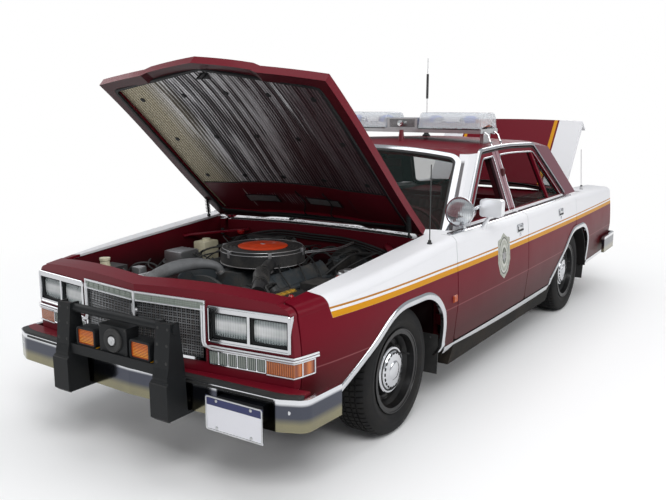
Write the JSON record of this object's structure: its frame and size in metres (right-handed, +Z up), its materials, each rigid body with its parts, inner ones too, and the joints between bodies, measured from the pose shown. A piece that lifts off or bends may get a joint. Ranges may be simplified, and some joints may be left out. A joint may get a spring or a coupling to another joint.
{
  "type": "police patrol sedan",
  "caption": "Full-size four-door patrol sedan with opening hood, trunk lid and doors, turning and steering wheels, roof light bar and front push bumper.",
  "frame": {"origin": "on the ground under the middle of the overall length and width", "axes": "front of the car towards -Y, the car's left towards +X, +Z up"},
  "size_m": [2.036, 5.35, 1.99],
  "materials": {
    "body_paint": "gloss",
    "two_tone_paint": "gloss, light upper half with gold lines",
    "chrome": "polished",
    "black_paint": "satin",
    "lamp_glass": "clear",
    "window_glass": "clear, slightly green",
    "amber_lens": "amber lens",
    "red_lens": "red lens",
    "dome_plastic": "clear plastic",
    "insulation": "foil-faced, ribbed",
    "rubber": "matt",
    "tyre": "matt",
    "steel_wheel": "gloss, chrome centre cap",
    "cast_iron": "machined and rough",
    "bare_steel": "dull",
    "vinyl": "soft",
    "trim_plastic": "grained",
    "plate": "blank",
    "aluminium": "satin"
  },
  "bodies": {
    "car_body": {"fenders": "two_tone_paint", "quarters": "two_tone_paint", "roof": "body_paint", "fixed_glass": "window_glass", "header_panel": "body_paint", "grille": "chrome", "headlamp_bezels": "chrome", "headlamps": "lamp_glass", "marker_lamps": "amber_lens", "front_bumper": "chrome", "rear_bumper": "chrome", "push_bumper": "black_paint", "push_bumper_lamps": "amber_lens", "licence_plates": "plate", "front_frame": "body_paint", "radiator": "black_paint", "engine": "cast_iron", "air_cleaner": "black_paint", "bay_fittings": "black_paint", "firewall": "body_paint", "floor_pan": "body_paint", "trunk_pan": "body_paint", "tail_panel": "body_paint", "tail_lamps": "red_lens", "front_suspension": "bare_steel", "rear_axle": "cast_iron", "exhaust": "bare_steel", "fuel_tank": "bare_steel", "seats": "vinyl", "dashboard": "trim_plastic", "steering_wheel": "trim_plastic", "light_bar": "aluminium", "light_bar_domes": "dome_plastic", "spotlight": "chrome", "antennas": "bare_steel"},
    "door_front_left": {"door_front_left": "two_tone_paint", "mirror_left": "chrome"},
    "door_front_right": {"door_front_right": "two_tone_paint", "mirror_right": "chrome"},
    "door_rear_left": {"door_rear_left": "two_tone_paint", "rear_door_glass_left": "window_glass"},
    "door_rear_right": {"door_rear_right": "two_tone_paint", "rear_door_glass_right": "window_glass"},
    "hood": {"hood": "body_paint", "hood_blanket": "insulation"},
    "trunk_lid": {"trunk_lid": "two_tone_paint"},
    "knuckle_left": {"knuckle_left": "cast_iron"},
    "knuckle_right": {"knuckle_right": "cast_iron"},
    "wheel_front_left": {"tyre_fl": "tyre", "rim_fl": "steel_wheel"},
    "wheel_front_right": {"tyre_fr": "tyre", "rim_fr": "steel_wheel"},
    "wheel_rear_left": {"tyre_rl": "tyre", "rim_rl": "steel_wheel"},
    "wheel_rear_right": {"tyre_rr": "tyre", "rim_rr": "steel_wheel"}
  },
  "joints": [
    {"name": "door_front_left_hinge", "type": "hinge", "parent": "car_body", "child": "door_front_left", "pos_m": [0.9331, -1.005, 0.6], "axis": [0, 0, -1], "range_deg": [0, 65]},
    {"name": "door_rear_left_hinge", "type": "hinge", "parent": "car_body", "child": "door_rear_left", "pos_m": [0.94298, 0.128, 0.6], "axis": [0, 0, -1], "range_deg": [0, 65]},
    {"name": "door_front_right_hinge", "type": "hinge", "parent": "car_body", "child": "door_front_right", "pos_m": [-0.9331, -1.005, 0.6], "axis": [0, 0, 1], "range_deg": [0, 65]},
    {"name": "door_rear_right_hinge", "type": "hinge", "parent": "car_body", "child": "door_rear_right", "pos_m": [-0.94298, 0.128, 0.6], "axis": [0, 0, 1], "range_deg": [0, 65]},
    {"name": "hood_hinge", "type": "hinge", "parent": "car_body", "child": "hood", "pos_m": [0, -1.005, 0.925], "axis": [1, 0, 0], "range_deg": [0, 44]},
    {"name": "trunk_lid_hinge", "type": "hinge", "parent": "car_body", "child": "trunk_lid", "pos_m": [0, 1.835, 0.957], "axis": [1, 0, 0], "range_deg": [-56, 0]},
    {"name": "steer_left", "type": "hinge", "parent": "car_body", "child": "knuckle_left", "pos_m": [0.705, -1.565, 0.33], "axis": [0, 0, 1], "range_deg": [-30, 30]},
    {"name": "steer_right", "type": "hinge", "parent": "car_body", "child": "knuckle_right", "pos_m": [-0.705, -1.565, 0.33], "axis": [0, 0, 1], "range_deg": [-30, 30]},
    {"name": "wheel_front_left_spin", "type": "hinge", "parent": "knuckle_left", "child": "wheel_front_left", "pos_m": [0.759, -1.565, 0.33], "axis": [1, 0, 0], "continuous": true},
    {"name": "wheel_rear_left_spin", "type": "hinge", "parent": "car_body", "child": "wheel_rear_left", "pos_m": [0.759, 1.295, 0.33], "axis": [1, 0, 0], "continuous": true},
    {"name": "wheel_front_right_spin", "type": "hinge", "parent": "knuckle_right", "child": "wheel_front_right", "pos_m": [-0.759, -1.565, 0.33], "axis": [1, 0, 0], "continuous": true},
    {"name": "wheel_rear_right_spin", "type": "hinge", "parent": "car_body", "child": "wheel_rear_right", "pos_m": [-0.759, 1.295, 0.33], "axis": [1, 0, 0], "continuous": true}
  ],
  "couplings": [
    {"joint": "steer_right", "follows": "steer_left", "ratio": 1}
  ]
}
